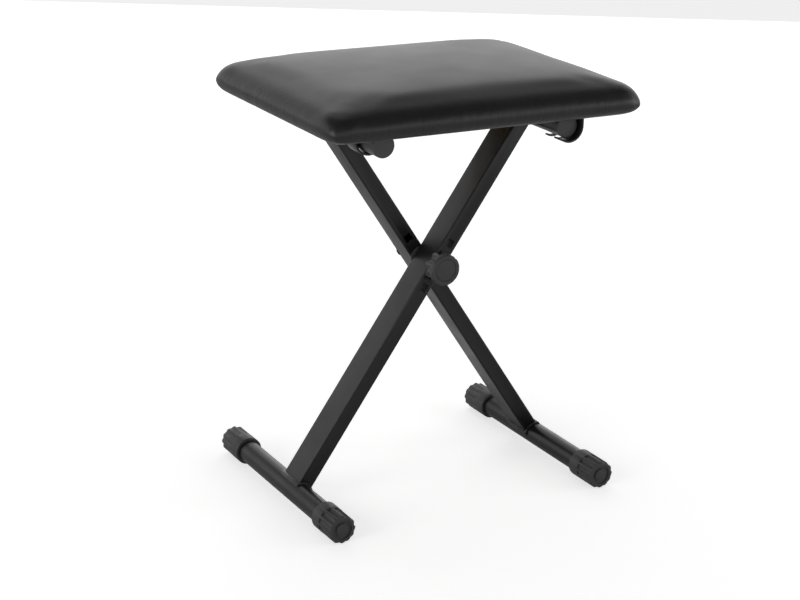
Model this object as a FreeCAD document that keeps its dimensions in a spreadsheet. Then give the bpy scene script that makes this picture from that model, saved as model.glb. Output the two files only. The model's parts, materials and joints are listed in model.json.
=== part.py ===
import FreeCAD, Part
import math
import os
import Sketcher
from FreeCAD import Placement, Rotation, Vector

# Folding keyboard bench, millimetres.
# Origin on the floor, midway between the feet and below the knob's bolt.
# X runs across the player, from the left foot to the right one. Y runs along the foot bars, away
# from the knob. Z is up.
# Two rectangular legs cross at a bolt. Each is welded to a round foot bar and to a round top bar.
# The left top bar turns in two straps under the seat, and the right one lies in two open hooks.

os.makedirs("parts", exist_ok=True)
doc = FreeCAD.newDocument("keyboard_bench")

# Driving dimensions
DIMENSIONS = {
    # seat
    "seat_width": 380, "seat_depth": 296,
    "cover_thickness": 1.0, "hem_width": 16,
    "edge_draw_in": 11, "belly_height": 10, "cushion_height": 49,
    "edge_corner": 9, "belly_corner": 27,
    "board_thickness": 12, "board_margin": 3, "board_corner": 7,
    # frame
    "foot_axis_height": 15.5, "leg_length": 489, "hole_reach": 197, "bar_spacing": 222,
    "hole_pitch": 28, "hole_side": 9,
    "leg_depth": 37, "leg_width": 18, "leg_wall": 1.2, "leg_corner": 2.2, "leg_gap": 1.0,
    "bar_diameter": 25, "bar_wall": 1.2, "foot_bar_length": 268, "bar_end_setback": 6,
    "weld_size": 2.0,
    # foot caps and bar plugs
    "cap_diameter": 31.6, "cap_length": 42, "cap_end": 4, "cap_collar": 15,
    "flute_count": 12, "flute_diameter": 8, "flute_depth": 1.7, "cap_edge": 1.2,
    "recess_depth": 1.6, "recess_outer": 22, "boss_diameter": 14,
    "plug_lip": 1.5, "plug_length": 14, "plug_edge": 0.8,
    # straps, hooks and their screws
    "seat_clearance": 0.3, "strap_inner_radius": 14.8, "strap_thickness": 2, "strap_width": 22,
    "strap_place": 70, "flange_length": 15, "lip_reach": 6.9,
    "hook_width": 20, "hem_gap": 3, "hook_slot": 12, "hook_finger": 5, "hook_flange": 18,
    "screw_diameter": 4, "screw_head": 8.5, "screw_head_height": 2.4, "screw_length": 11,
    # bolt and knob
    "bolt_diameter": 8, "bolt_clearance": 0.25, "bolt_length": 90, "bolt_neck": 8.6, "neck_length": 5,
    "bolt_head": 20, "bolt_head_height": 4.4, "bolt_end_room": 1,
    "spacer_diameter": 24, "washer_diameter": 21, "washer_thickness": 1.5,
    "knob_diameter": 35, "knob_height": 18, "knob_front": 6, "knob_edge": 1.4,
    "lobe_count": 8, "lobe_diameter": 10, "lobe_depth": 4.2,
    "rim_lobe_depth": 0.6, "knob_cap_diameter": 25, "knob_cap_thickness": 1.6,
    "nut_width": 13, "nut_height": 6.5, "nut_cover": 2, "thread_clearance": 0.05,
}

sheet = doc.addObject("Spreadsheet::Sheet", "Sizes")
for row, (alias, number) in enumerate(DIMENSIONS.items(), start=1):
    sheet.set(f"A{row}", alias.replace("_", " "))
    sheet.set(f"B{row}", str(number))
    sheet.setAlias(f"B{row}", alias)
doc.recompute()


class Size:
    """A size that is known both as a number and as a formula of the sheet's cells."""

    def __init__(self, number, formula):
        self.number = float(number)
        self.formula = formula

    def __add__(self, other):
        other = as_size(other)
        return Size(self.number + other.number, f"({self.formula} + {other.formula})")

    def __sub__(self, other):
        other = as_size(other)
        return Size(self.number - other.number, f"({self.formula} - {other.formula})")

    def __mul__(self, other):
        other = as_size(other)
        return Size(self.number * other.number, f"{self.formula} * {other.formula}")

    def __truediv__(self, other):
        other = as_size(other)
        return Size(self.number / other.number, f"{self.formula} / ({other.formula})")

    def __neg__(self):
        return Size(-self.number, f"(-1 * {self.formula})")

    def __float__(self):
        return self.number


def as_size(value):
    return value if isinstance(value, Size) else Size(value, repr(value))


def cell(alias):
    return Size(sheet.get(alias), f"Sizes.{alias}")


def root(value):
    return Size(math.sqrt(value.number), f"sqrt({value.formula})")


# Sizes that several pieces share
seat_width = cell("seat_width")
seat_depth = cell("seat_depth")
cover = cell("cover_thickness")
leg_depth = cell("leg_depth")
leg_width = cell("leg_width")
leg_gap = cell("leg_gap")
bar_radius = cell("bar_diameter") / 2
lower_reach = cell("leg_length") - cell("hole_reach")
upper_reach = cell("hole_reach")
lean_cosine = cell("bar_spacing") / 2 / cell("hole_reach")
lean_sine = root(as_size(1) - lean_cosine * lean_cosine)
pivot_height = cell("foot_axis_height") + lower_reach * lean_sine
foot_offset = lower_reach * lean_cosine
bar_offset = cell("bar_spacing") / 2
bar_height = cell("foot_axis_height") + cell("leg_length") * lean_sine
board_bottom = bar_height + bar_radius + cell("seat_clearance")
leg_face = leg_gap / 2 + leg_depth
hook_front = seat_depth / 2 - cell("edge_draw_in") - cell("hem_width") - cell("hem_gap")
hook_place = hook_front - cell("hook_width") / 2
top_bar_length = (hook_front - cell("bar_end_setback") - cell("plug_lip")) * 2
TILT = math.degrees(math.asin(lean_cosine.number))
MARGIN = 2.0


# Building helpers
def bind(item, name, value):
    item.setExpression(name, as_size(value).formula)


def move_to(item, x=0, y=0, z=0, rotation=None):
    item.Placement = Placement(Vector(float(x), float(y), float(z)), rotation or Rotation())
    for axis, value in zip("xyz", (x, y, z)):
        bind(item, f"Placement.Base.{axis}", value)


ALONG_Y = Rotation(Vector(1, 0, 0), -90)


def block(name, x, y, z, size_x, size_y, size_z):
    """A box centred on x and y, standing on z."""
    box = doc.addObject("Part::Box", name)
    for side, value in (("Length", size_x), ("Width", size_y), ("Height", size_z)):
        bind(box, side, value)
    move_to(box, as_size(x) - as_size(size_x) / 2, as_size(y) - as_size(size_y) / 2, z)
    return box


def rod(name, radius, length, x=0, y=0, z=0, rotation=None):
    cylinder = doc.addObject("Part::Cylinder", name)
    bind(cylinder, "Radius", radius)
    bind(cylinder, "Height", length)
    move_to(cylinder, x, y, z, rotation)
    return cylinder


def rod_along_y(name, radius, length, x=0, z=0, y=0, lower_half=False):
    """A cylinder along Y, centred on y, or only its lower half."""
    cylinder = rod(name, radius, length, x, as_size(y) - as_size(length) / 2, z, ALONG_Y)
    if lower_half:
        cylinder.Angle = 180
    return cylinder


def cut(name, base, tool):
    result = doc.addObject("Part::Cut", name)
    result.Base = base
    result.Tool = tool
    return result


def join(name, shapes):
    result = doc.addObject("Part::MultiFuse", name)
    result.Shapes = shapes
    result.Refine = True
    return result


def common(name, shapes):
    result = doc.addObject("Part::MultiCommon", name)
    result.Shapes = shapes
    return result


def new_body(label):
    body = doc.addObject("PartDesign::Body", label)
    body.Label = label
    return body


def origin_feature(body, role):
    return next(item for item in body.Origin.OriginFeatures if item.Role == role)


def sketch_on(body, role, name):
    sketch = body.newObject("Sketcher::SketchObject", name)
    sketch.AttachmentSupport = [(origin_feature(body, role), "")]
    sketch.MapMode = "FlatFace"
    return sketch


def hold_point(sketch, edge, point, x, y):
    """Tie one sketch point to the origin by its two distances."""
    for kind, axis, value in (("DistanceX", -2, x), ("DistanceY", -1, y)):
        value = as_size(value)
        if value.number == 0:
            sketch.addConstraint(Sketcher.Constraint("PointOnObject", edge, point, axis))
        else:
            ends = (-1, 1, edge, point) if value.number > 0 else (edge, point, -1, 1)
            distance = value if value.number > 0 else -value
            index = sketch.addConstraint(Sketcher.Constraint(kind, *ends, distance.number))
            sketch.setExpression(f"Constraints[{index}]", distance.formula)


def draw_outline(sketch, corners):
    """A closed outline of straight lines through the corners."""
    points = [Vector(float(x), float(y), 0) for x, y in corners]
    count = len(points)
    for index in range(count):
        sketch.addGeometry(Part.LineSegment(points[index], points[(index + 1) % count]))
    for index in range(count):
        sketch.addConstraint(Sketcher.Constraint("Coincident", index, 2, (index + 1) % count, 1))
    for index, (x, y) in enumerate(corners):
        hold_point(sketch, index, 1, x, y)


def draw_circle(sketch, x, y, radius):
    circle = Part.Circle(Vector(float(x), float(y), 0), Vector(0, 0, 1), float(radius))
    index = sketch.addGeometry(circle)
    size = sketch.addConstraint(Sketcher.Constraint("Radius", index, float(radius)))
    bind(sketch, f"Constraints[{size}]", radius)
    if as_size(x).number == 0 and as_size(y).number == 0:
        sketch.addConstraint(Sketcher.Constraint("Coincident", index, 3, -1, 1))
    else:
        hold_point(sketch, index, 3, x, y)


def draw_rounded_rectangle(sketch, width, depth, corner):
    """A rectangle with round corners, centred on the origin."""
    half_x = float(width) / 2
    half_y = float(depth) / 2
    radius = float(corner)
    first = sketch.GeometryCount
    quarters = ((1, 1, 0), (-1, 1, 90), (-1, -1, 180), (1, -1, 270))
    for index, (side_x, side_y, start) in enumerate(quarters):
        centre = Vector(side_x * (half_x - radius), side_y * (half_y - radius), 0)
        circle = Part.Circle(centre, Vector(0, 0, 1), radius)
        start_angle = math.radians(start)
        sketch.addGeometry(Part.ArcOfCircle(circle, start_angle, start_angle + math.pi / 2))
    arcs = [sketch.Geometry[first + index] for index in range(4)]
    for index in range(4):
        sketch.addGeometry(Part.LineSegment(arcs[index].EndPoint, arcs[(index + 1) % 4].StartPoint))
    for index in range(4):
        arc = first + index
        line = first + 4 + index
        following = first + (index + 1) % 4
        sketch.addConstraint(Sketcher.Constraint("Tangent", arc, 2, line, 1))
        sketch.addConstraint(Sketcher.Constraint("Tangent", line, 2, following, 1))
        direction = "Horizontal" if index % 2 == 0 else "Vertical"
        sketch.addConstraint(Sketcher.Constraint(direction, line))
        if index:
            sketch.addConstraint(Sketcher.Constraint("Equal", first, arc))
    sketch.addConstraint(Sketcher.Constraint("Symmetric", first, 3, first + 2, 3, -1, 1))
    for kind, ends, value in (("Radius", (first,), corner),
                              ("DistanceX", (first + 5, 1, first + 7, 1), width),
                              ("DistanceY", (first + 6, 1, first + 4, 1), depth)):
        index = sketch.addConstraint(Sketcher.Constraint(kind, *ends, float(value)))
        bind(sketch, f"Constraints[{index}]", value)


def pad(body, sketch, name, length, centred=True):
    feature = body.newObject("PartDesign::Pad", name)
    feature.Profile = sketch
    bind(feature, "Length", length)
    feature.Midplane = centred
    return feature


def pocket(body, sketch, name, length, centred=False, reverse=False):
    feature = body.newObject("PartDesign::Pocket", name)
    feature.Profile = sketch
    bind(feature, "Length", length)
    feature.Midplane = centred
    feature.Reversed = reverse
    return feature


def revolve(body, sketch, name):
    """Turn a profile drawn in the XZ plane about the body's Z axis."""
    feature = body.newObject("PartDesign::Revolution", name)
    feature.Profile = sketch
    feature.ReferenceAxis = (origin_feature(body, "Z_Axis"), [""])
    feature.Angle = 360
    return feature


def repeat_round(body, feature, name, count):
    """Repeat a feature around the body's Z axis."""
    pattern = body.newObject("PartDesign::PolarPattern", name)
    pattern.Originals = [feature]
    pattern.Axis = (origin_feature(body, "Z_Axis"), [""])
    pattern.Angle = 360
    bind(pattern, "Occurrences", count)
    body.Tip = pattern
    return pattern


NODES = []


def finish(item, label, place=None):
    """Name a finished sub-part, put it in its place and list it for export."""
    item.Label = label
    if place is not None:
        item.Placement = place
    NODES.append(item)
    return item


# Cushion: foam on a board, wrapped in a cover whose hem is turned under the board
# Each step of the form is a share of the cushion's height above its belly, how far the form has
# drawn in there from its widest outline, and how much rounder its corners are.
FORM_STEPS = ((0.0, 0.0, 0.0), (0.36, 4.0, 1.0), (0.62, 16.0, 4.0), (0.86, 46.0, 6.0),
              (1.0, 106.0, -5.0))


def cushion_form(name, inset):
    """The cushion's closed form, drawn in by the inset all round."""
    sections = []
    top = cell("cushion_height") - inset * 2
    outlines = [(as_size(0), cell("edge_draw_in"), cell("edge_corner") - inset)]
    for share, draw_in, corner_growth in FORM_STEPS:
        height = cell("belly_height") - inset + (top - cell("belly_height") + inset) * share
        outlines.append((height, as_size(draw_in), cell("belly_corner") - inset + corner_growth))
    for index, (height, draw_in, corner) in enumerate(outlines):
        sketch = doc.addObject("Sketcher::SketchObject", f"{name}_section_{index}")
        width = seat_width - (draw_in + inset) * 2
        depth = seat_depth - (draw_in + inset) * 2
        draw_rounded_rectangle(sketch, width, depth, corner)
        move_to(sketch, 0, 0, board_bottom - cover + inset + height)
        sections.append(sketch)
    loft = doc.addObject("Part::Loft", name)
    loft.Sections = sections
    loft.Solid = True
    loft.Ruled = True
    return loft


def make_seat_board(screw_places):
    body = new_body("seat_board")
    outline = sketch_on(body, "XY_Plane", "board_outline")
    inset = (cell("edge_draw_in") + cover + cell("board_margin")) * 2
    draw_rounded_rectangle(outline, seat_width - inset, seat_depth - inset, cell("board_corner"))
    pad(body, outline, "board_pad", cell("board_thickness"), centred=False)
    holes = sketch_on(body, "XY_Plane", "screw_holes")
    for x, y in screw_places:
        draw_circle(holes, x, y, cell("screw_diameter") / 2)
    depth = cell("screw_length") - cell("strap_thickness")
    pocket(body, holes, "screw_hole_pockets", depth, reverse=True)
    move_to(body, 0, 0, board_bottom)
    return finish(body, "seat_board")


def make_cushion():
    inner = cushion_form("inner_form", cover)
    inset = (cell("edge_draw_in") + cover + cell("board_margin")) * 2
    recess = doc.addObject("Sketcher::SketchObject", "foam_recess_outline")
    draw_rounded_rectangle(recess, seat_width - inset, seat_depth - inset, cell("board_corner"))
    move_to(recess, 0, 0, board_bottom)
    recess_form = doc.addObject("Part::Extrusion", "foam_recess")
    recess_form.Base = recess
    recess_form.DirMode = "Custom"
    recess_form.Dir = Vector(0, 0, 1)
    bind(recess_form, "LengthFwd", cell("board_thickness"))
    recess_form.Solid = True
    foam = cut("seat_foam", inner, recess_form)
    finish(foam, "seat_foam")

    outer = cushion_form("outer_form", as_size(0))
    hollow = cushion_form("cover_hollow", cover)
    shell = cut("cover_shell", outer, hollow)
    hem_inset = (cell("edge_draw_in") + cell("hem_width")) * 2
    opening = block("hem_opening", 0, 0, board_bottom - cover * 2,
                    seat_width - hem_inset, seat_depth - hem_inset, cover * 3)
    finish(cut("seat_cover", shell, opening), "seat_cover")


# Straps and hooks: bent steel bands screwed to the board
def band_round_bar(name, x, y, width, flange):
    """A band that hangs from the board round a top bar, open inside, with no flanges."""
    inner = cell("strap_inner_radius")
    outer = inner + cell("strap_thickness")
    rise = board_bottom - bar_height
    outside = join(f"{name}_outside", [
        rod_along_y(f"{name}_outer_round", outer, width, x, bar_height, y, lower_half=True),
        block(f"{name}_outer_sides", x, y, bar_height, outer * 2, width, rise),
        block(f"{name}_flange", flange[0], y, board_bottom - cell("strap_thickness"), flange[1],
              width, cell("strap_thickness"))])
    inside = join(f"{name}_inside", [
        rod_along_y(f"{name}_inner_round", inner, width + MARGIN, x, bar_height, y),
        block(f"{name}_inner_sides", x, y, bar_height, inner * 2, width + MARGIN, rise + MARGIN)])
    return cut(f"{name}_band", outside, inside)


def screw_holes(name, places, radius):
    drills = []
    for index, (x, y) in enumerate(places):
        low = board_bottom - cell("strap_thickness") - MARGIN
        drills.append(rod(f"{name}_drill_{index}", radius, cell("strap_thickness") + MARGIN * 2,
                          x, y, low))
    return join(f"{name}_drills", drills)


def strap_screws(side):
    """Where a strap's two screws go, one in each flange."""
    outer = cell("strap_inner_radius") + cell("strap_thickness")
    reach = outer + cell("flange_length") / 2
    y = cell("strap_place") * side
    return [(-bar_offset - reach, y), (-bar_offset + reach, y)]


def hook_screws(side):
    """Where a hook's two screws go, both in its outer flange."""
    outer = cell("strap_inner_radius") + cell("strap_thickness")
    x = bar_offset + outer + cell("hook_flange") / 2
    near = hook_place * side
    far = (hook_place - cell("hook_width") / 2 - cell("hook_slot") / 2) * side
    return [(x, near), (x, far)]


def make_strap(label, side):
    outer = cell("strap_inner_radius") + cell("strap_thickness")
    flange = (-bar_offset, (outer + cell("flange_length")) * 2)
    band = band_round_bar(label, -bar_offset, cell("strap_place") * side, cell("strap_width"), flange)
    drills = screw_holes(label, strap_screws(side), cell("screw_diameter") / 2)
    return finish(cut(f"{label}_drilled", band, drills), label)


def make_hook(label, side):
    """A hook: the outer side, the bottom and a short lip, with a slot beside a narrow finger."""
    outer = cell("strap_inner_radius") + cell("strap_thickness")
    width = cell("hook_width") + cell("hook_slot") + cell("hook_finger")
    centre = (hook_place + cell("hook_width") / 2 - width / 2) * side
    flange_length = outer + cell("hook_flange")
    flange = (bar_offset + flange_length / 2, flange_length)
    band = band_round_bar(label, bar_offset, centre, width, flange)
    depth = outer + board_bottom - bar_height + MARGIN
    mouth = block(f"{label}_mouth", bar_offset - cell("lip_reach") - outer, centre,
                  bar_height - outer - MARGIN, outer * 2, width + MARGIN, depth + MARGIN)
    slot_y = (hook_place - cell("hook_width") / 2 - cell("hook_slot") / 2) * side
    slot = block(f"{label}_slot", bar_offset, slot_y, bar_height - outer - MARGIN,
                 outer * 4, cell("hook_slot"), outer)
    drills = screw_holes(label, hook_screws(side), cell("screw_diameter") / 2)
    removed = join(f"{label}_removed", [mouth, slot, drills])
    return finish(cut(f"{label}_open", band, removed), label)


def make_screws(places):
    """The screws that hold the straps and hooks, as one group of separate solids."""
    screws = []
    for index, (x, y) in enumerate(places):
        under = board_bottom - cell("strap_thickness")
        head_height = cell("screw_head_height")
        shank = rod(f"screw_shank_{index}", cell("screw_diameter") / 2, cell("screw_length"),
                    x, y, under)
        head = doc.addObject("Part::Cone", f"screw_head_{index}")
        bind(head, "Radius1", cell("screw_diameter") / 2)
        bind(head, "Radius2", cell("screw_head") / 2)
        bind(head, "Height", head_height)
        move_to(head, x, y, under - head_height)
        screws.append(join(f"screw_{index}", [shank, head]))
    group = doc.addObject("Part::Compound", "bracket_screws")
    group.Links = screws
    return finish(group, "bracket_screws")


# Legs: each in its own frame, with Z along the leg and the middle hole at the origin
def leg_place(lean, y=0):
    rotation = Rotation(Vector(0, 1, 0), lean * TILT)
    return Placement(Vector(0, float(y), pivot_height.number), rotation)


def make_leg_tube(label, lean):
    body = new_body(label)
    section = sketch_on(body, "XY_Plane", f"{label}_section")
    wall = cell("leg_wall")
    draw_rounded_rectangle(section, leg_width, leg_depth, cell("leg_corner"))
    draw_rounded_rectangle(section, leg_width - wall * 2, leg_depth - wall * 2,
                           cell("leg_corner") - wall)
    bind(section, "AttachmentOffset.Base.z", -lower_reach)
    pad(body, section, f"{label}_pad", cell("leg_length"), centred=False)
    saddles = sketch_on(body, "XZ_Plane", f"{label}_saddles")
    draw_circle(saddles, 0, -lower_reach, bar_radius)
    draw_circle(saddles, 0, upper_reach, bar_radius)
    pocket(body, saddles, f"{label}_saddle_cuts", leg_depth + MARGIN, centred=True)
    holes = sketch_on(body, "XZ_Plane", f"{label}_holes")
    half = cell("hole_side") / 2
    for step in (-1, 0, 1):
        middle = cell("hole_pitch") * step
        square = [(-half, middle - half), (half, middle - half),
                  (half, middle + half), (-half, middle + half)]
        draw_square(holes, square)
    pocket(body, holes, f"{label}_hole_cuts", leg_depth + MARGIN, centred=True)
    y = (leg_gap + leg_depth) / 2 * -lean
    return finish(body, label, leg_place(lean, y))


def draw_square(sketch, corners):
    """One more closed outline in a sketch that already holds some."""
    first = sketch.GeometryCount
    points = [Vector(float(x), float(y), 0) for x, y in corners]
    for index in range(4):
        sketch.addGeometry(Part.LineSegment(points[index], points[(index + 1) % 4]))
    for index in range(4):
        following = first + (index + 1) % 4
        sketch.addConstraint(Sketcher.Constraint("Coincident", first + index, 2, following, 1))
    for index, (x, y) in enumerate(corners):
        hold_point(sketch, first + index, 1, x, y)


def make_bar(label, x, z, length):
    """A round tube along Y."""
    body = new_body(label)
    section = sketch_on(body, "XZ_Plane", f"{label}_section")
    draw_circle(section, 0, 0, bar_radius)
    draw_circle(section, 0, 0, bar_radius - cell("bar_wall"))
    pad(body, section, f"{label}_pad", length)
    move_to(body, x, 0, z)
    return finish(body, label)


def make_welds(label, lean):
    """The beads where a leg meets its foot bar and its top bar."""
    y = (leg_gap + leg_depth) / 2 * -lean
    beads = []
    size = cell("weld_size")
    for name, reach in (("foot", -lower_reach), ("top", upper_reach)):
        around_bar = rod_along_y(f"{label}_{name}_round", bar_radius + size, leg_depth + size * 4,
                                 0, reach)
        around_leg = block(f"{label}_{name}_square", 0, 0, reach - bar_radius * 2,
                           leg_width + size * 2, leg_depth + size * 2, bar_radius * 4)
        side = -1 if name == "top" else 1
        half = block(f"{label}_{name}_half", 0, 0, reach if side > 0 else reach - bar_radius * 2,
                     leg_width * 2, leg_depth * 2, bar_radius * 2)
        bead = common(f"{label}_{name}_bead", [around_bar, around_leg, half])
        leg = leg_outside(f"{label}_{name}", reach)
        bar = rod_along_y(f"{label}_{name}_bar", bar_radius, leg_depth * 2, 0, reach)
        beads.append(cut(f"{label}_{name}_weld", bead, join(f"{label}_{name}_metal", [leg, bar])))
    group = doc.addObject("Part::Compound", label)
    group.Links = beads
    return finish(group, label, leg_place(lean, y))


def leg_outside(name, reach):
    """The leg's solid outside, for what is fitted round it."""
    outline = doc.addObject("Sketcher::SketchObject", f"{name}_leg_outline")
    draw_rounded_rectangle(outline, leg_width, leg_depth, cell("leg_corner"))
    move_to(outline, 0, 0, reach - bar_radius * 2)
    solid = doc.addObject("Part::Extrusion", f"{name}_leg_outside")
    solid.Base = outline
    solid.DirMode = "Custom"
    solid.Dir = Vector(0, 0, 1)
    bind(solid, "LengthFwd", bar_radius * 4)
    solid.Solid = True
    return solid


# Foot caps and bar plugs: in their own frame Z points out of the bar's end and X is up
def end_place(x, y, z, side):
    """Z out of the bar's end, X up."""
    out = Vector(0, side, 0)
    up = Vector(0, 0, 1)
    rotation = Rotation(up, out.cross(up), out, "ZXY")
    return Placement(Vector(float(x), float(y), float(z)), rotation)


def make_foot_cap(label, x, side):
    """A cup with a smooth collar, a fluted end and a boss in a ring recess."""
    body = new_body(label)
    radius = cell("cap_diameter") / 2
    bore = bar_radius
    end = cell("cap_end")
    depth = cell("cap_length") - end
    edge = cell("cap_edge")
    profile = sketch_on(body, "XZ_Plane", f"{label}_profile")
    recess = cell("recess_depth")
    draw_outline(profile, [
        (bore, -depth), (radius - edge / 2, -depth), (radius, -depth + edge / 2),
        (radius, end - edge), (radius - edge, end), (cell("recess_outer") / 2, end),
        (cell("recess_outer") / 2, end - recess), (cell("boss_diameter") / 2, end - recess),
        (cell("boss_diameter") / 2, end), (as_size(0), end), (as_size(0), as_size(0)),
        (bore, as_size(0))])
    revolve(body, profile, f"{label}_turned")
    flute = sketch_on(body, "XY_Plane", f"{label}_flute")
    flute_radius = cell("flute_diameter") / 2
    reach = radius + flute_radius - cell("flute_depth")
    half_step = math.radians(180 / float(cell("flute_count")))
    draw_circle(flute, reach * math.cos(half_step), reach * math.sin(half_step), flute_radius)
    run = cell("cap_length") - cell("cap_collar")
    bind(flute, "AttachmentOffset.Base.z", end + MARGIN - run)
    flute_cut = pocket(body, flute, f"{label}_flute_cut", run, reverse=True)
    repeat_round(body, flute_cut, f"{label}_flutes", cell("flute_count"))
    flat = sketch_on(body, "XZ_Plane", f"{label}_flat")
    low = -cell("foot_axis_height")
    draw_outline(flat, [(low, -cell("cap_length")), (low, cell("cap_length")),
                        (low - radius, cell("cap_length")), (low - radius, -cell("cap_length"))])
    pocket(body, flat, f"{label}_flat_cut", radius * 2, centred=True)
    y = cell("foot_bar_length") / 2 * side
    return finish(body, label, end_place(x, y, cell("foot_axis_height"), side))


def make_bar_plug(label, x, side):
    """A plug with a lip as wide as the bar and a stem inside it."""
    body = new_body(label)
    profile = sketch_on(body, "XZ_Plane", f"{label}_profile")
    stem = bar_radius - cell("bar_wall")
    lip = cell("plug_lip")
    edge = cell("plug_edge")
    zero = as_size(0)
    draw_outline(profile, [
        (zero, -cell("plug_length")), (stem, -cell("plug_length")), (stem, zero),
        (bar_radius, zero), (bar_radius, lip - edge), (bar_radius - edge, lip), (zero, lip)])
    revolve(body, profile, f"{label}_turned")
    y = top_bar_length / 2 * side
    return finish(body, label, end_place(x, y, bar_height, side))


# Bolt and knob: in their own frame Z points to the player's side, out of the knob's face
def front_place(y):
    return end_place(0, y, pivot_height, -1)


def make_bolt():
    """A carriage bolt: domed head, square neck in the rear leg, shank through both legs."""
    head_radius = cell("bolt_head") / 2
    rise = cell("bolt_head_height")
    dome_radius = (head_radius * head_radius + rise * rise) / (rise * 2)
    shank = rod("bolt_shank", cell("bolt_diameter") / 2, cell("bolt_length"))
    neck = block("bolt_neck", 0, 0, 0, cell("bolt_neck"), cell("bolt_neck"), cell("neck_length"))
    neck.Placement.Rotation = Rotation()
    ball = doc.addObject("Part::Sphere", "bolt_dome")
    bind(ball, "Radius", dome_radius)
    move_to(ball, 0, 0, dome_radius - rise)
    disc = rod("bolt_disc", head_radius, rise, 0, 0, -rise)
    head = common("bolt_head", [ball, disc])
    bolt = join("carriage_bolt", [shank, neck, head])
    place = front_place(leg_face)
    turn = Placement(Vector(), Rotation(Vector(0, 0, 1), TILT))
    return finish(bolt, "carriage_bolt", place.multiply(turn))


def make_ring(label, diameter, thickness, y):
    """A flat ring on the bolt."""
    outside = rod(f"{label}_disc", diameter / 2, thickness)
    bore = cell("bolt_diameter") / 2 + cell("bolt_clearance")
    hole = rod(f"{label}_hole", bore, thickness + MARGIN * 2, 0, 0, -MARGIN)
    return finish(cut(f"{label}_ring", outside, hole), label, front_place(y))


def make_knob(y):
    """A lobed knob: eight deep flutes under a faintly lobed front disc."""
    body = new_body("knob")
    radius = cell("knob_diameter") / 2
    height = cell("knob_height")
    edge = cell("knob_edge")
    zero = as_size(0)
    profile = sketch_on(body, "XZ_Plane", "knob_profile")
    hollow = cell("bolt_diameter") / 2 + cell("bolt_clearance")
    cap = cell("knob_cap_diameter") / 2
    recess = cell("knob_cap_thickness")
    bolt_reach = cell("bolt_length") - leg_face * 2 - cell("washer_thickness")
    hollow_depth = bolt_reach + cell("bolt_end_room")
    draw_outline(profile, [
        (hollow, zero), (radius - edge, zero), (radius, edge), (radius, height - edge),
        (radius - edge, height), (cap, height), (cap, height - recess), (zero, height - recess),
        (zero, hollow_depth), (hollow, hollow_depth)])
    revolve(body, profile, "knob_turned")
    grip = sketch_on(body, "XY_Plane", "knob_lobe")
    lobe = cell("lobe_diameter") / 2
    reach = radius + lobe - cell("lobe_depth")
    draw_circle(grip, reach, 0, lobe)
    grip_cut = pocket(body, grip, "knob_lobe_cut", height - cell("knob_front"), reverse=True)
    repeat_round(body, grip_cut, "knob_lobes", cell("lobe_count"))
    rim = sketch_on(body, "XY_Plane", "knob_rim")
    draw_circle(rim, radius + lobe - cell("rim_lobe_depth"), 0, lobe)
    rim_cut = pocket(body, rim, "knob_rim_cut", height + MARGIN, reverse=True)
    repeat_round(body, rim_cut, "knob_rim_lobes", cell("lobe_count"))
    seat = sketch_on(body, "XY_Plane", "nut_pocket_outline")
    bind(seat, "AttachmentOffset.Base.z", cell("nut_cover"))
    draw_hexagon(seat, cell("nut_width"))
    pocket(body, seat, "nut_pocket", cell("nut_height"), reverse=True)
    return finish(body, "knob", front_place(y))


def draw_hexagon(sketch, width):
    """A hexagon given across its flats."""
    corner = width / math.sqrt(3)
    corners = []
    for index in range(6):
        angle = math.radians(60 * index)
        corners.append((corner * round(math.cos(angle), 9), corner * round(math.sin(angle), 9)))
    draw_outline(sketch, corners)


def make_knob_nut(y):
    """The hexagon nut moulded into the knob."""
    body = new_body("knob_nut")
    outline = sketch_on(body, "XY_Plane", "nut_outline")
    draw_hexagon(outline, cell("nut_width"))
    pad(body, outline, "nut_pad", cell("nut_height"), centred=False)
    bore = sketch_on(body, "XY_Plane", "nut_bore")
    draw_circle(bore, 0, 0, cell("bolt_diameter") / 2 + cell("thread_clearance"))
    pocket(body, bore, "nut_bore_cut", cell("nut_height"), reverse=True)
    return finish(body, "knob_nut", front_place(y))


def make_knob_cap(y):
    """The disc pressed into the knob's face, with a shallow chamfer round it."""
    body = new_body("knob_cap")
    profile = sketch_on(body, "XZ_Plane", "knob_cap_profile")
    radius = cell("knob_cap_diameter") / 2
    thick = cell("knob_cap_thickness")
    edge = thick / 2
    zero = as_size(0)
    draw_outline(profile, [(zero, zero), (radius, zero), (radius, thick - edge),
                           (radius - edge, thick), (zero, thick)])
    revolve(body, profile, "knob_cap_turned")
    return finish(body, "knob_cap", front_place(y))


# Seat
screw_places = []
for side in (-1, 1):
    screw_places += strap_screws(side) + hook_screws(side)
make_seat_board(screw_places)
make_cushion()
for name, side in (("front", -1), ("rear", 1)):
    make_strap(f"left_{name}_strap", side)
    make_hook(f"right_{name}_hook", side)
make_screws(screw_places)

# Frame: the front leg leans to the right, from the left foot bar to the right top bar
for name, lean in (("front", 1), ("rear", -1)):
    make_leg_tube(f"{name}_leg_tube", lean)
    make_welds(f"{name}_leg_welds", lean)
for name, side in (("left", -1), ("right", 1)):
    make_bar(f"{name}_foot_bar", foot_offset * side, cell("foot_axis_height"),
             cell("foot_bar_length"))
    make_bar(f"{name}_top_bar", bar_offset * side, bar_height, top_bar_length)
    for end_name, end in (("front", -1), ("rear", 1)):
        make_foot_cap(f"{name}_{end_name}_foot_cap", foot_offset * side, end)
        make_bar_plug(f"{name}_{end_name}_bar_plug", bar_offset * side, end)

# Bolt and knob
make_bolt()
make_ring("leg_spacer", cell("spacer_diameter"), leg_gap, leg_gap / 2)
make_ring("knob_washer", cell("washer_diameter"), cell("washer_thickness"), -leg_face)
knob_base = -leg_face - cell("washer_thickness")
make_knob(knob_base)
make_knob_nut(knob_base - cell("nut_cover"))
make_knob_cap(knob_base - cell("knob_height") + cell("knob_cap_thickness"))

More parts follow.
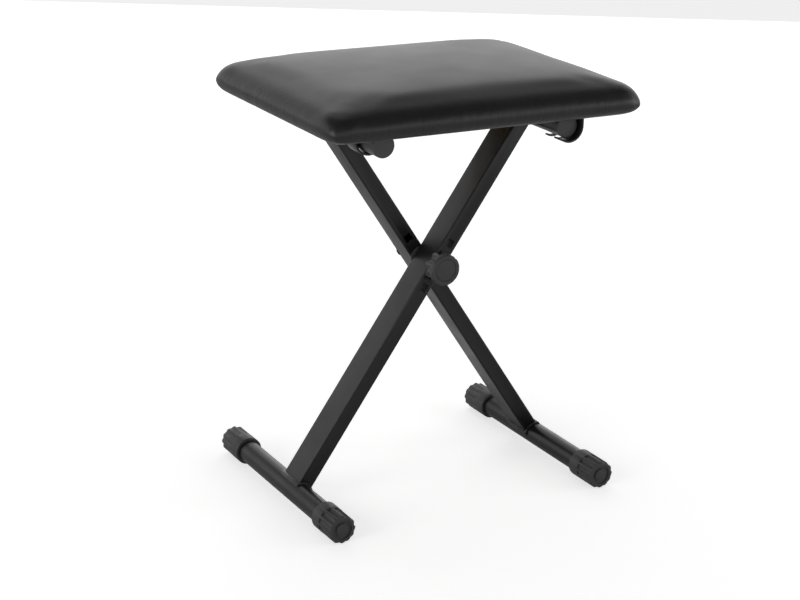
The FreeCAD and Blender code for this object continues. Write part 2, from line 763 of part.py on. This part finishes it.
# Recompute, check and export
doc.recompute()
for item in doc.Objects:
    if "Invalid" in item.State or "Error" in item.State:
        raise RuntimeError(f"{item.Name} did not compute: {item.State}")
for node in NODES:
    if node.Shape.isNull() or not node.Shape.isValid():
        raise RuntimeError(f"{node.Label} has no valid shape")
for node in NODES:
    node.Shape.exportStep(f"parts/{node.Label}.step")
    print(node.Label, len(node.Shape.Solids), "solids", round(node.Shape.Volume / 1000, 2), "cm3")
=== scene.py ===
import json
import math

import bmesh
import bpy
from mathutils import Matrix, Vector, noise

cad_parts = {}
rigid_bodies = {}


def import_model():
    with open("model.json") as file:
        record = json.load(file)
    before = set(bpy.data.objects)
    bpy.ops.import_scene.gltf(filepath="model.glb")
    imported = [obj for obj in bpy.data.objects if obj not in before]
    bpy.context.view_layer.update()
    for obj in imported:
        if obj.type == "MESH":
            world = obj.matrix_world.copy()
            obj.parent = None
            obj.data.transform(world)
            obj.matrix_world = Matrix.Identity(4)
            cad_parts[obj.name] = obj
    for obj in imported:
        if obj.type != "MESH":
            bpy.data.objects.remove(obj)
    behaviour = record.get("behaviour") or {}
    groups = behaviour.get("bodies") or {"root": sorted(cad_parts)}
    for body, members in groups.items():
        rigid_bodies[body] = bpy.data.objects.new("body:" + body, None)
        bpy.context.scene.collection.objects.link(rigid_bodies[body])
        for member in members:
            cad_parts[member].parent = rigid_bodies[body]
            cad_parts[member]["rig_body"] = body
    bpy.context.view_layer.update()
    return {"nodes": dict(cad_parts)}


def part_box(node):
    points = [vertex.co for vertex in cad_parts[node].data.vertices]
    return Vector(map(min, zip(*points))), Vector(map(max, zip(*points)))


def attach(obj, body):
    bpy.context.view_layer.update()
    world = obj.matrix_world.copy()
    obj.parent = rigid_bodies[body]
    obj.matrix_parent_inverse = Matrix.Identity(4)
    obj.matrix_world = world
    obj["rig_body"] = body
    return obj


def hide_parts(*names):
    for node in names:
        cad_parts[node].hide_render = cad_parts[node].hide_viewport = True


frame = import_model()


# Seat board: a panel of particle board under the cushion. It is sawn to size and left bare, and the
# straps and hooks are screwed to its underside.
def clear_selection():
    """Leave edit mode and deselect everything."""
    if bpy.context.mode != "OBJECT":
        bpy.ops.object.mode_set(mode="OBJECT")
    bpy.ops.object.select_all(action="DESELECT")


def take_up(piece):
    """Make this piece the only one selected, and the active one."""
    clear_selection()
    piece.select_set(True)
    bpy.context.view_layer.objects.active = piece


def new_finish(name, color, roughness, metallic=0.0):
    """A material, with its nodes and its links."""
    finish = bpy.data.materials.new(name)
    finish.use_nodes = True
    nodes = finish.node_tree.nodes
    shader = nodes["Principled BSDF"]
    shader.inputs["Base Color"].default_value = (*color, 1.0)
    shader.inputs["Roughness"].default_value = roughness
    shader.inputs["Metallic"].default_value = metallic
    place = nodes.new("ShaderNodeTexCoord")
    place.name = "Place"
    return finish


def add_noise(finish, scale, detail=3.0, stretch=(1.0, 1.0, 1.0)):
    """A noise texture that follows the object's own coordinates."""
    nodes = finish.node_tree.nodes
    mapping = nodes.new("ShaderNodeMapping")
    mapping.inputs["Scale"].default_value = stretch
    texture = nodes.new("ShaderNodeTexNoise")
    texture.inputs["Scale"].default_value = scale
    texture.inputs["Detail"].default_value = detail
    finish.node_tree.links.new(nodes["Place"].outputs["Object"], mapping.inputs["Vector"])
    finish.node_tree.links.new(mapping.outputs["Vector"], texture.inputs["Vector"])
    return texture.outputs["Fac"]


def add_cells(finish, scale, feature="DISTANCE_TO_EDGE"):
    """A cell texture, for grain."""
    nodes = finish.node_tree.nodes
    texture = nodes.new("ShaderNodeTexVoronoi")
    texture.feature = feature
    texture.inputs["Scale"].default_value = scale
    finish.node_tree.links.new(nodes["Place"].outputs["Object"], texture.inputs["Vector"])
    return texture.outputs["Distance"]


def spread(finish, value, low, high, to_low, to_high, socket):
    """Spread a texture's value over a range of the shader's own."""
    span = finish.node_tree.nodes.new("ShaderNodeMapRange")
    span.inputs["From Min"].default_value = low
    span.inputs["From Max"].default_value = high
    span.inputs["To Min"].default_value = to_low
    span.inputs["To Max"].default_value = to_high
    finish.node_tree.links.new(value, span.inputs["Value"])
    shader = finish.node_tree.nodes["Principled BSDF"]
    finish.node_tree.links.new(span.outputs["Result"], shader.inputs[socket])


def tint(finish, value, dark, light):
    """Let a texture's value choose a colour between two."""
    ramp = finish.node_tree.nodes.new("ShaderNodeValToRGB")
    ramp.color_ramp.elements[0].position = 0.3
    ramp.color_ramp.elements[0].color = (*dark, 1.0)
    ramp.color_ramp.elements[1].position = 0.7
    ramp.color_ramp.elements[1].color = (*light, 1.0)
    finish.node_tree.links.new(value, ramp.inputs["Fac"])
    shader = finish.node_tree.nodes["Principled BSDF"]
    finish.node_tree.links.new(ramp.outputs["Color"], shader.inputs["Base Color"])


def fade(finish, value, axis, start, end):
    """A texture's value, faded out along one axis of the object's own coordinates."""
    nodes = finish.node_tree.nodes
    links = finish.node_tree.links
    split = nodes.new("ShaderNodeSeparateXYZ")
    share = nodes.new("ShaderNodeMapRange")
    share.inputs["From Min"].default_value = start
    share.inputs["From Max"].default_value = end
    product = nodes.new("ShaderNodeMath")
    product.operation = "MULTIPLY"
    links.new(nodes["Place"].outputs["Object"], split.inputs["Vector"])
    links.new(split.outputs[axis], share.inputs["Value"])
    links.new(share.outputs["Result"], product.inputs[0])
    links.new(value, product.inputs[1])
    return product.outputs["Value"]


def bump(finish, heights):
    """Relief from several textures, each with its height in metres."""
    nodes = finish.node_tree.nodes
    links = finish.node_tree.links
    before = None
    for value, height in heights:
        relief = nodes.new("ShaderNodeBump")
        relief.inputs["Distance"].default_value = height
        relief.inputs["Strength"].default_value = 1.0
        links.new(value, relief.inputs["Height"])
        if before is not None:
            links.new(before.outputs["Normal"], relief.inputs["Normal"])
        before = relief
    links.new(before.outputs["Normal"], nodes["Principled BSDF"].inputs["Normal"])


def paint(piece, finish):
    """Give a piece one material all over."""
    piece.data.materials.clear()
    piece.data.materials.append(finish)


bare_board = new_finish("bare_board", (0.42, 0.30, 0.18), 0.8)
chips = add_noise(bare_board, 260.0, 6.0, (1.0, 0.45, 1.0))
tint(bare_board, chips, (0.25, 0.165, 0.09), (0.56, 0.42, 0.27))
bump(bare_board, [(chips, 0.0003)])
paint(frame["nodes"]["seat_board"], bare_board)


# Cushion: a slab of foam in a black vinyl cover, pulled down over the board's edges and stapled under
# it. The cover is stretched tight, so the top crowns, the sides slope in and the corners pinch.
board_low, board_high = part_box("seat_board")
cover_low, cover_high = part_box("seat_cover")
SWELL = 0.003                      # the room left for the foam to swell
BELLY_HEIGHT = 0.010               # the widest line, above the bottom edge
EDGE_DRAW_IN = 0.011               # how far the bottom edge lies inside it
CORNER = 0.024                     # the widest line's corner radius
# Each step is a height above the bottom edge, and how far the cushion has drawn in there.
CUSHION_STEPS = ((0.0190, 0.0014), (0.0265, 0.0042), (0.0325, 0.0100), (0.0370, 0.0210),
                 (0.0405, 0.0380), (0.0438, 0.0640), (0.0462, 0.0950), (0.0472, 0.1300))
HEM_WIDTH = 0.016
# The groups are used by name, because a new group can make an older one's handle go stale.
UPPER_SIDE = "upper side"
STAPLED_UNDERSIDE = "stapled underside"
HELD_ABOVE_BELLY = 0.004           # the swelling moves nothing below this
SETTLING_FADE = 0.008              # over this height the settling comes in
half_width = cover_high.x - SWELL / 4
half_depth = cover_high.y - SWELL / 4
belly_z = cover_low.z + BELLY_HEIGHT
crown_z = cover_high.z - SWELL

clear_selection()
bpy.ops.mesh.primitive_plane_add(size=2, location=(0, 0, 0))
cushion = bpy.context.active_object
cushion.name = "seat_cushion"
bpy.ops.object.mode_set(mode="EDIT")
bpy.ops.mesh.select_all(action="SELECT")
bpy.ops.transform.resize(value=(half_width, half_depth, 1))
bpy.ops.transform.translate(value=(0, 0, belly_z))
bpy.ops.mesh.bevel(offset=CORNER, segments=8, affect="VERTICES")
bpy.ops.mesh.select_mode(type="FACE")
bpy.ops.mesh.select_all(action="SELECT")
step_height, step_draw_in = BELLY_HEIGHT, 0.0
for height, draw_in in CUSHION_STEPS:
    rise = height - step_height
    bpy.ops.mesh.extrude_region_move(TRANSFORM_OT_translate={"value": (0, 0, rise)})
    narrower = (half_width - draw_in) / (half_width - step_draw_in)
    shallower = (half_depth - draw_in) / (half_depth - step_draw_in)
    bpy.ops.transform.resize(value=(narrower, shallower, 1))
    step_height, step_draw_in = height, draw_in
bpy.ops.object.mode_set(mode="OBJECT")
for face in cushion.data.polygons:
    face.select = face.normal.z < -0.9 or abs(face.center.z - belly_z) < 1e-6
bpy.ops.object.mode_set(mode="EDIT")
bpy.ops.mesh.normals_make_consistent(inside=False)
bpy.ops.mesh.inset(thickness=EDGE_DRAW_IN, depth=BELLY_HEIGHT)
bpy.ops.mesh.select_all(action="SELECT")
bpy.ops.mesh.normals_make_consistent(inside=False)
clear_selection()

take_up(cushion)
remesh = cushion.modifiers.new("Even mesh", "REMESH")
remesh.mode = "VOXEL"
remesh.voxel_size = 0.005
bpy.ops.object.modifier_apply(modifier=remesh.name)


def crown_height(x, y):
    """How high the cushion's top lies above its bottom edge, from how far in the point is."""
    from_side = max(0.0001, half_width - abs(x))
    from_front = max(0.0001, half_depth - abs(y))
    inward = (from_side ** -2 + from_front ** -2) ** -0.5
    if from_side < CORNER and from_front < CORNER:
        inward = min(inward, CORNER - math.hypot(CORNER - from_side, CORNER - from_front))
    low_height, low_draw_in = BELLY_HEIGHT, 0.0
    for height, draw_in in CUSHION_STEPS:
        if inward < draw_in:
            share = max(0.0, inward - low_draw_in) / (draw_in - low_draw_in)
            return low_height + (height - low_height) * share
        low_height, low_draw_in = height, draw_in
    return low_height


for vertex in cushion.data.vertices:
    if vertex.co.z > belly_z + 0.001:
        vertex.co.z = cover_low.z + crown_height(vertex.co.x, vertex.co.y)
upper = cushion.vertex_groups.new(name=UPPER_SIDE)
for vertex in cushion.data.vertices:
    weight = min(1.0, max(0.0, (vertex.co.z - belly_z - HELD_ABOVE_BELLY) / SETTLING_FADE))
    upper.add([vertex.index], weight, "REPLACE")
take_up(cushion)
settle = cushion.modifiers.new("Settled foam", "SMOOTH")
settle.factor = 0.5
settle.iterations = 40
settle.vertex_group = UPPER_SIDE
bpy.ops.object.modifier_apply(modifier=settle.name)
LAST_MOMENT = 20
at_start = [vertex.co.copy() for vertex in cushion.data.vertices]
held = cushion.vertex_groups.new(name=STAPLED_UNDERSIDE)
held.add([vertex.index for vertex in cushion.data.vertices
          if vertex.co.z < belly_z + HELD_ABOVE_BELLY], 1.0, "REPLACE")
cloth = cushion.modifiers.new("Swelling", "CLOTH")
cloth.settings.quality = 8
cloth.settings.mass = 0.3
cloth.settings.use_pressure = True
cloth.settings.uniform_pressure_force = 1.5
cloth.settings.effector_weights.gravity = 0.0
cloth.settings.vertex_group_mass = STAPLED_UNDERSIDE
cloth.point_cache.frame_start = 1
cloth.point_cache.frame_end = LAST_MOMENT
for moment in range(1, LAST_MOMENT + 1):
    bpy.context.scene.frame_set(moment)
bpy.ops.object.modifier_apply(modifier=cloth.name)
FURTHEST = 0.002               # no point of the cover swells further than this
for vertex, start in zip(cushion.data.vertices, at_start):
    move = vertex.co - start
    if move.length > FURTHEST:
        vertex.co = start + move.normalized() * FURTHEST
stretched = cushion.modifiers.new("Stretched cover", "SMOOTH")
stretched.factor = 0.5
stretched.iterations = 14
bpy.ops.object.modifier_apply(modifier=stretched.name)
bpy.context.scene.frame_set(1)

# The settled cushion is drawn out again to its full width and depth.
reach_x = max(vertex.co.x for vertex in cushion.data.vertices)
reach_y = max(vertex.co.y for vertex in cushion.data.vertices)
for vertex in cushion.data.vertices:
    vertex.co.x *= half_width / reach_x
    vertex.co.y *= half_depth / reach_y

# The corners are pulled out to a point at the bottom edge, and the cover puckers there.
PINCH = 0.0070
PUCKER = 0.0006
PUCKER_SPACING = 0.0042
WRINKLE = 0.0004
CORNER_START = 1.80                # where a corner begins, as shares of both half sizes added up
CORNER_SPAN = 0.13
for vertex in cushion.data.vertices:
    x, y, z = vertex.co
    height = (z - cover_low.z) / (crown_z - cover_low.z)
    outward = Vector((x / half_width, y / half_depth, 0.0))
    side = max(0.0, min(1.0, 1.6 - 2.2 * height))
    both = (abs(x) / half_width) + (abs(y) / half_depth)
    corner = max(0.0, both - CORNER_START) / CORNER_SPAN
    corner = min(1.0, corner) ** 3
    direction = Vector((math.copysign(1, x), math.copysign(1, y), 0.0)).normalized()
    around = abs(x) - half_width - abs(y) + half_depth
    lift = PINCH * corner * max(0.0, 1.0 - height * 1.5)
    lift += PUCKER * corner * side * math.cos(around / PUCKER_SPACING)
    vertex.co += direction * lift
    if abs(x) > half_width * 0.86 or abs(y) > half_depth * 0.86:
        along = x if abs(y) / half_depth > abs(x) / half_width else y
        soft = noise.noise(Vector((along * 62.0, z * 9.0, 3.0 if along == x else 7.0)))
        vertex.co += outward.normalized() * (WRINKLE * soft * side)
    vertex.co.z = max(vertex.co.z, cover_low.z)

take_up(cushion)
smooth = cushion.modifiers.new("Smooth", "SUBSURF")
smooth.levels = 1
smooth.render_levels = 1
bpy.ops.object.modifier_apply(modifier=smooth.name)
bpy.ops.mesh.primitive_cube_add(size=2, location=(0, 0, 0))
hem_opening = bpy.context.active_object
bpy.ops.object.mode_set(mode="EDIT")
bpy.ops.transform.resize(value=(
    cover_high.x - EDGE_DRAW_IN - HEM_WIDTH, cover_high.y - EDGE_DRAW_IN - HEM_WIDTH, 0.01))
bpy.ops.transform.translate(value=(0, 0, board_low.z + 0.0002 - 0.01))
clear_selection()
take_up(cushion)
hollow = cushion.modifiers.new("Hem opening", "BOOLEAN")
hollow.operation = "DIFFERENCE"
hollow.object = hem_opening
bpy.ops.object.modifier_apply(modifier=hollow.name)
bpy.data.objects.remove(hem_opening)
bpy.ops.object.shade_smooth_by_angle(angle=math.radians(50))

vinyl = new_finish("black_vinyl", (0.012, 0.012, 0.0135), 0.42)
vinyl_grain = add_cells(vinyl, 620.0)
vinyl_pores = add_noise(vinyl, 1500.0, 2.0)
vinyl_wear = add_noise(vinyl, 22.0, 4.0)
vinyl_creases = add_noise(vinyl, 210.0, 2.0, (1.0, 1.0, 0.09))
side_creases = fade(vinyl, vinyl_creases, "Z", cover_low.z + 0.036, cover_low.z + 0.018)
tint(vinyl, vinyl_wear, (0.0052, 0.0052, 0.0060), (0.0068, 0.0068, 0.0078))
spread(vinyl, vinyl_wear, 0.3, 0.7, 0.41, 0.45, "Roughness")
bump(vinyl, [(side_creases, 0.0005), (vinyl_grain, 0.00010), (vinyl_pores, 0.00003)])
paint(cushion, vinyl)
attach(cushion, "seat")
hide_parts("seat_foam", "seat_cover")


# Staples: wire staples that hold the hem to the board, shot in round its underside.
STAPLE_WIDTH = 0.010
STAPLE_WIRE = 0.0009
STAPLE_PITCH = 0.030
STAPLE_SUNK = 0.4                  # how much of the wire lies below the hem
STAPLE_FROM_HEM = 0.006
staple_line_x = cover_high.x - EDGE_DRAW_IN - HEM_WIDTH + STAPLE_FROM_HEM
staple_line_y = cover_high.y - EDGE_DRAW_IN - HEM_WIDTH + STAPLE_FROM_HEM


def staple_places():
    """Where the staples go along the four sides of the hem, and which way each one lies."""
    places = []
    for half_run, across, turned in ((staple_line_x, staple_line_y, False),
                                     (staple_line_y, staple_line_x, True)):
        count = int((2 * half_run - STAPLE_PITCH) / STAPLE_PITCH)
        for index in range(count + 1):
            run = (index - count / 2) * STAPLE_PITCH
            for side in (-1, 1):
                lean = 0.12 * math.sin(7.0 * index + side)
                if turned:
                    places.append((across * side, run, math.pi / 2 + lean))
                else:
                    places.append((run, across * side, lean))
    return places


clear_selection()
bpy.ops.mesh.primitive_cube_add(size=1, location=(0, 0, 0))
staples = bpy.context.active_object
staples.name = "hem_staples"
bpy.ops.object.mode_set(mode="EDIT")
bpy.ops.transform.resize(value=(STAPLE_WIDTH, STAPLE_WIRE, STAPLE_WIRE))
bpy.ops.mesh.select_all(action="SELECT")
bpy.ops.mesh.bevel(offset=STAPLE_WIRE * 0.3, segments=2)
bpy.ops.object.mode_set(mode="OBJECT")
one_staple = staples.data.copy()
all_staples = bmesh.new()
for x, y, turn in staple_places():
    placed = one_staple.copy()
    lay = Matrix.Rotation(turn, 4, "Z")
    placed.transform(Matrix.Translation((x, y, cover_low.z - STAPLE_WIRE * STAPLE_SUNK)) @ lay)
    all_staples.from_mesh(placed)
    bpy.data.meshes.remove(placed)
all_staples.to_mesh(staples.data)
all_staples.free()
bpy.data.meshes.remove(one_staple)

bright_zinc = new_finish("bright_zinc", (0.62, 0.62, 0.63), 0.34, 1.0)
zinc_bloom = add_noise(bright_zinc, 340.0, 3.0)
spread(bright_zinc, zinc_bloom, 0.3, 0.7, 0.26, 0.46, "Roughness")
bump(bright_zinc, [(zinc_bloom, 0.00002)])
paint(staples, bright_zinc)
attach(staples, "seat")


# Straps and hooks: bands of steel bent round the top bars, punched, and coated black. The straps close
# round the left bar, and the hooks are open towards the middle.
def merged_copy(node, name, round_off, segments=2):
    """A copy of a solid with its edges rounded over, on the same body, in its place."""
    source = frame["nodes"][node]
    piece = source.copy()
    piece.data = source.data.copy()
    for key in list(piece.keys()):
        del piece[key]
    piece.parent = None
    piece.name = name
    bpy.context.scene.collection.objects.link(piece)
    take_up(piece)
    if piece.data.has_custom_normals:
        bpy.ops.mesh.customdata_custom_splitnormals_clear()
    bpy.ops.object.mode_set(mode="EDIT")
    bpy.ops.mesh.select_all(action="SELECT")
    bpy.ops.mesh.remove_doubles(threshold=0.00001)
    bpy.ops.mesh.dissolve_limited(angle_limit=math.radians(1.0))
    bpy.ops.object.mode_set(mode="OBJECT")
    edge = piece.modifiers.new("Rounded edges", "BEVEL")
    edge.width = round_off
    edge.segments = segments
    edge.limit_method = "ANGLE"
    edge.angle_limit = math.radians(35)
    edge.harden_normals = False
    bpy.ops.object.modifier_apply(modifier=edge.name)
    bpy.ops.object.shade_smooth_by_angle(angle=math.radians(35))
    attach(piece, source["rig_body"])
    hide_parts(node)
    return piece


bracket_coat = new_finish("bracket_coat", (0.011, 0.011, 0.0115), 0.34)
bracket_peel = add_noise(bracket_coat, 900.0, 2.0)
spread(bracket_coat, add_noise(bracket_coat, 60.0), 0.3, 0.7, 0.28, 0.42, "Roughness")
bump(bracket_coat, [(bracket_peel, 0.00003)])
for node in ("left_front_strap", "left_rear_strap", "right_front_hook", "right_rear_hook"):
    bracket = merged_copy(node, node + "_bent", 0.0003)
    paint(bracket, bracket_coat)


# Screws: pan-head screws with a cross recess, driven up into the board.
screws = merged_copy("bracket_screws", "bracket_screws_driven", 0.0003)
paint(screws, bright_zinc)


# Legs: rectangular steel tube, cut to the bars' curve at both ends and punched with three square holes,
# with a satin black powder coat over the whole frame.
FRAME_GLOSS = 0.42
frame_coat = new_finish("frame_coat", (0.0062, 0.0062, 0.0066), 0.33)
frame_shader = frame_coat.node_tree.nodes["Principled BSDF"]
frame_shader.inputs["Specular IOR Level"].default_value = FRAME_GLOSS
coat_peel = add_noise(frame_coat, 700.0, 2.0)
coat_wave = add_noise(frame_coat, 26.0, 3.0)
spread(frame_coat, coat_wave, 0.3, 0.7, 0.27, 0.4, "Roughness")
bump(frame_coat, [(coat_peel, 0.00004), (coat_wave, 0.00006)])
for node in ("front_leg_tube", "rear_leg_tube"):
    leg = merged_copy(node, node + "_coated", 0.0003)
    paint(leg, frame_coat)


# Bars: round steel tube, two on the floor and two under the seat, welded across the ends of the legs.
BAR_SIDES = 96
BAR_WALL = 0.0012
for node, body in (("left_foot_bar", "front_leg"), ("right_foot_bar", "rear_leg"),
                   ("left_top_bar", "rear_leg"), ("right_top_bar", "front_leg")):
    low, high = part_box(node)
    middle = (low + high) / 2
    radius = (high.x - low.x) / 2
    clear_selection()
    bpy.ops.mesh.primitive_cylinder_add(vertices=BAR_SIDES, radius=radius, depth=high.y - low.y,
                                        location=(0, 0, 0))
    bar = bpy.context.active_object
    bar.name = node + "_coated"
    bpy.ops.object.mode_set(mode="EDIT")
    bpy.ops.mesh.select_mode(type="FACE")
    bpy.ops.mesh.select_all(action="DESELECT")
    bpy.ops.object.mode_set(mode="OBJECT")
    for face in bar.data.polygons:
        face.select = abs(face.normal.z) > 0.9
    bpy.ops.object.mode_set(mode="EDIT")
    bpy.ops.mesh.inset(thickness=BAR_WALL)
    bpy.ops.mesh.bridge_edge_loops()
    bpy.ops.object.mode_set(mode="OBJECT")
    bar.data.transform(Matrix.Translation(middle) @ Matrix.Rotation(math.pi / 2, 4, "X"))
    bpy.ops.object.shade_smooth_by_angle(angle=math.radians(35))
    paint(bar, frame_coat)
    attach(bar, body)
    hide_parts(node)


# Welds: a bead laid round each leg's end where it sits on its bar, rippled by the torch and coated
# with the rest.
weld_coat = new_finish("weld_coat", (0.0085, 0.0085, 0.009), 0.36)
spread(weld_coat, add_noise(weld_coat, 40.0), 0.3, 0.7, 0.3, 0.44, "Roughness")
bump(weld_coat, [(add_noise(weld_coat, 330.0, 2.0, (1.0, 1.0, 0.4)), 0.0007)])
for node in ("front_leg_welds", "rear_leg_welds"):
    beads = merged_copy(node, node + "_coated", 0.0005)
    paint(beads, weld_coat)


# Foot caps: moulded black plastic cups pushed over the foot bars, with a smooth collar, a fluted grip
# and a boss in the end. The bench stands on them.
moulded = new_finish("moulded_plastic", (0.034, 0.034, 0.035), 0.5)
moulded_grain = add_noise(moulded, 1300.0, 2.0)
spread(moulded, add_noise(moulded, 70.0), 0.3, 0.7, 0.44, 0.58, "Roughness")
bump(moulded, [(moulded_grain, 0.00006)])
for row in ("left", "right"):
    for end in ("front", "rear"):
        cap = merged_copy(f"{row}_{end}_foot_cap", f"{row}_{end}_foot_cap_moulded", 0.0005, 3)
        paint(cap, moulded)


# Bar plugs: smooth plastic discs that close the ends of the top bars.
plug_plastic = new_finish("plug_plastic", (0.048, 0.048, 0.049), 0.45)
bump(plug_plastic, [(add_noise(plug_plastic, 1300.0, 2.0), 0.00004)])
spread(plug_plastic, add_noise(plug_plastic, 80.0), 0.3, 0.7, 0.38, 0.52, "Roughness")
for row in ("left", "right"):
    for end in ("front", "rear"):
        plug = merged_copy(f"{row}_{end}_bar_plug", f"{row}_{end}_bar_plug_moulded", 0.0003, 3)
        paint(plug, plug_plastic)


# Bolt and knob: a black carriage bolt through both legs, with a thin spacer between them, and a moulded
# knob that screws down on a washer.
black_steel = new_finish("black_steel", (0.03, 0.03, 0.031), 0.36, 0.6)
spread(black_steel, add_noise(black_steel, 120.0), 0.3, 0.7, 0.3, 0.45, "Roughness")
bump(black_steel, [(add_noise(black_steel, 600.0, 2.0), 0.00002)])
for node in ("carriage_bolt", "knob_washer"):
    steel = merged_copy(node, node + "_turned", 0.0002)
    paint(steel, black_steel)
spacer = merged_copy("leg_spacer", "leg_spacer_punched", 0.0001)
paint(spacer, moulded)
nut = merged_copy("knob_nut", "knob_nut_moulded_in", 0.0002)
paint(nut, bright_zinc)
for node in ("knob", "knob_cap"):
    grip = merged_copy(node, node + "_moulded", 0.0006, 3)
    paint(grip, moulded)


# Studio: a pale floor, soft light from above and round the sides, and a camera a little above the
# seat's height, to the left of the front.
clear_selection()
bpy.ops.mesh.primitive_plane_add(size=12, location=(0, 0, 0))
floor = bpy.context.active_object
floor.name = "studio_floor"
FLOOR_GLOW = 0.60
GLOW_IN_REFLECTIONS = 0.12
floor_finish = bpy.data.materials.new("studio_floor")
floor_finish.use_nodes = True
floor_nodes = floor_finish.node_tree.nodes
floor_links = floor_finish.node_tree.links
floor_nodes.remove(floor_nodes["Principled BSDF"])
matte = floor_nodes.new("ShaderNodeBsdfDiffuse")
matte.inputs["Color"].default_value = (0.82, 0.82, 0.82, 1.0)
glow = floor_nodes.new("ShaderNodeEmission")
glow.inputs["Strength"].default_value = FLOOR_GLOW
both = floor_nodes.new("ShaderNodeAddShader")
floor_links.new(matte.outputs["BSDF"], both.inputs[0])
floor_links.new(glow.outputs["Emission"], both.inputs[1])
ray = floor_nodes.new("ShaderNodeLightPath")
seen = floor_nodes.new("ShaderNodeMath")
seen.operation = "MAXIMUM"
floor_links.new(ray.outputs["Is Camera Ray"], seen.inputs[0])
dimmed = floor_nodes.new("ShaderNodeMath")
dimmed.operation = "MULTIPLY"
dimmed.inputs[1].default_value = GLOW_IN_REFLECTIONS
floor_links.new(ray.outputs["Is Glossy Ray"], dimmed.inputs[0])
floor_links.new(dimmed.outputs["Value"], seen.inputs[1])
choose = floor_nodes.new("ShaderNodeMixShader")
floor_links.new(seen.outputs["Value"], choose.inputs["Fac"])
floor_links.new(matte.outputs["BSDF"], choose.inputs[1])
floor_links.new(both.outputs["Shader"], choose.inputs[2])
floor_links.new(choose.outputs["Shader"], floor_nodes["Material Output"].inputs["Surface"])
paint(floor, floor_finish)

WORLD_STRENGTH = 1.0
world = bpy.data.worlds.new("studio")
bpy.context.scene.world = world
world.use_nodes = True
world_nodes = world.node_tree.nodes
world_links = world.node_tree.links
direction = world_nodes.new("ShaderNodeTexCoord")
split = world_nodes.new("ShaderNodeSeparateXYZ")
world_links.new(direction.outputs["Generated"], split.inputs["Vector"])
heights = world_nodes.new("ShaderNodeValToRGB")
heights.color_ramp.elements[0].position = 0.0
heights.color_ramp.elements[0].color = (1.0, 1.0, 1.0, 1.0)
heights.color_ramp.elements[1].position = 1.0
heights.color_ramp.elements[1].color = (0.05, 0.05, 0.05, 1.0)
for position, grey in ((0.68, 1.0), (0.82, 0.05)):
    element = heights.color_ramp.elements.new(position)
    element.color = (grey, grey, grey, 1.0)
rise_map = world_nodes.new("ShaderNodeMapRange")
rise_map.inputs["From Min"].default_value = -1.0
rise_map.inputs["From Max"].default_value = 1.0
world_links.new(split.outputs["Z"], rise_map.inputs["Value"])
world_links.new(rise_map.outputs["Result"], heights.inputs["Fac"])
soft_light = world_nodes["Background"]
soft_light.inputs["Strength"].default_value = WORLD_STRENGTH
world_links.new(heights.outputs["Color"], soft_light.inputs["Color"])
white = world_nodes.new("ShaderNodeBackground")
white.inputs["Color"].default_value = (1, 1, 1, 1)
world_ray = world_nodes.new("ShaderNodeLightPath")
world_choose = world_nodes.new("ShaderNodeMixShader")
world_links.new(world_ray.outputs["Is Camera Ray"], world_choose.inputs["Fac"])
world_links.new(soft_light.outputs["Background"], world_choose.inputs[1])
world_links.new(white.outputs["Background"], world_choose.inputs[2])
world_links.new(world_choose.outputs["Shader"], world_nodes["World Output"].inputs["Surface"])


def add_softbox(name, place, target, size, watts):
    """A square area light that looks at a point."""
    light = bpy.data.lights.new(name, "AREA")
    light.shape = "SQUARE"
    light.size = size
    light.energy = watts
    lamp = bpy.data.objects.new(name, light)
    bpy.context.scene.collection.objects.link(lamp)
    lamp.location = place
    lamp.rotation_euler = (Vector(target) - Vector(place)).to_track_quat("-Z", "Y").to_euler()
    return lamp


add_softbox("overhead", (0.1, 0.9, 2.6), (0, 0, 0.3), 1.4, 5)
add_softbox("behind", (1.2, 2.1, 1.35), (0, 0, 0.45), 3.0, 18)
add_softbox("left side", (-2.6, -0.6, 1.0), (0, 0, 0.3), 1.4, 16)
add_softbox("right side", (2.4, -1.2, 0.9), (0, 0, 0.3), 1.2, 8)

AZIMUTH = math.radians(-29.48)
ELEVATION = math.radians(18.69)
ROLL = math.radians(1.53)
TARGET = Vector((-0.0245, 0, 0.2091))
DISTANCE = 2.1749
FOCAL_PIXELS = 1954.12
PICTURE_WIDTH = 800
backward = Vector((math.sin(AZIMUTH) * math.cos(ELEVATION), -math.cos(AZIMUTH) * math.cos(ELEVATION),
                   math.sin(ELEVATION)))
level = Vector((math.cos(AZIMUTH), math.sin(AZIMUTH), 0))
upward = backward.cross(level)
camera_right = level * math.cos(ROLL) + upward * math.sin(ROLL)
camera_up = upward * math.cos(ROLL) - level * math.sin(ROLL)
lens = bpy.data.cameras.new("camera")
lens.sensor_width = 36
lens.lens = FOCAL_PIXELS / PICTURE_WIDTH * lens.sensor_width
camera = bpy.data.objects.new("camera", lens)
bpy.context.scene.collection.objects.link(camera)
turn = Matrix((camera_right, camera_up, backward)).transposed()
camera.matrix_world = Matrix.Translation(TARGET + backward * DISTANCE) @ turn.to_4x4()
bpy.context.scene.camera = camera
bpy.context.scene.view_settings.view_transform = "Standard"
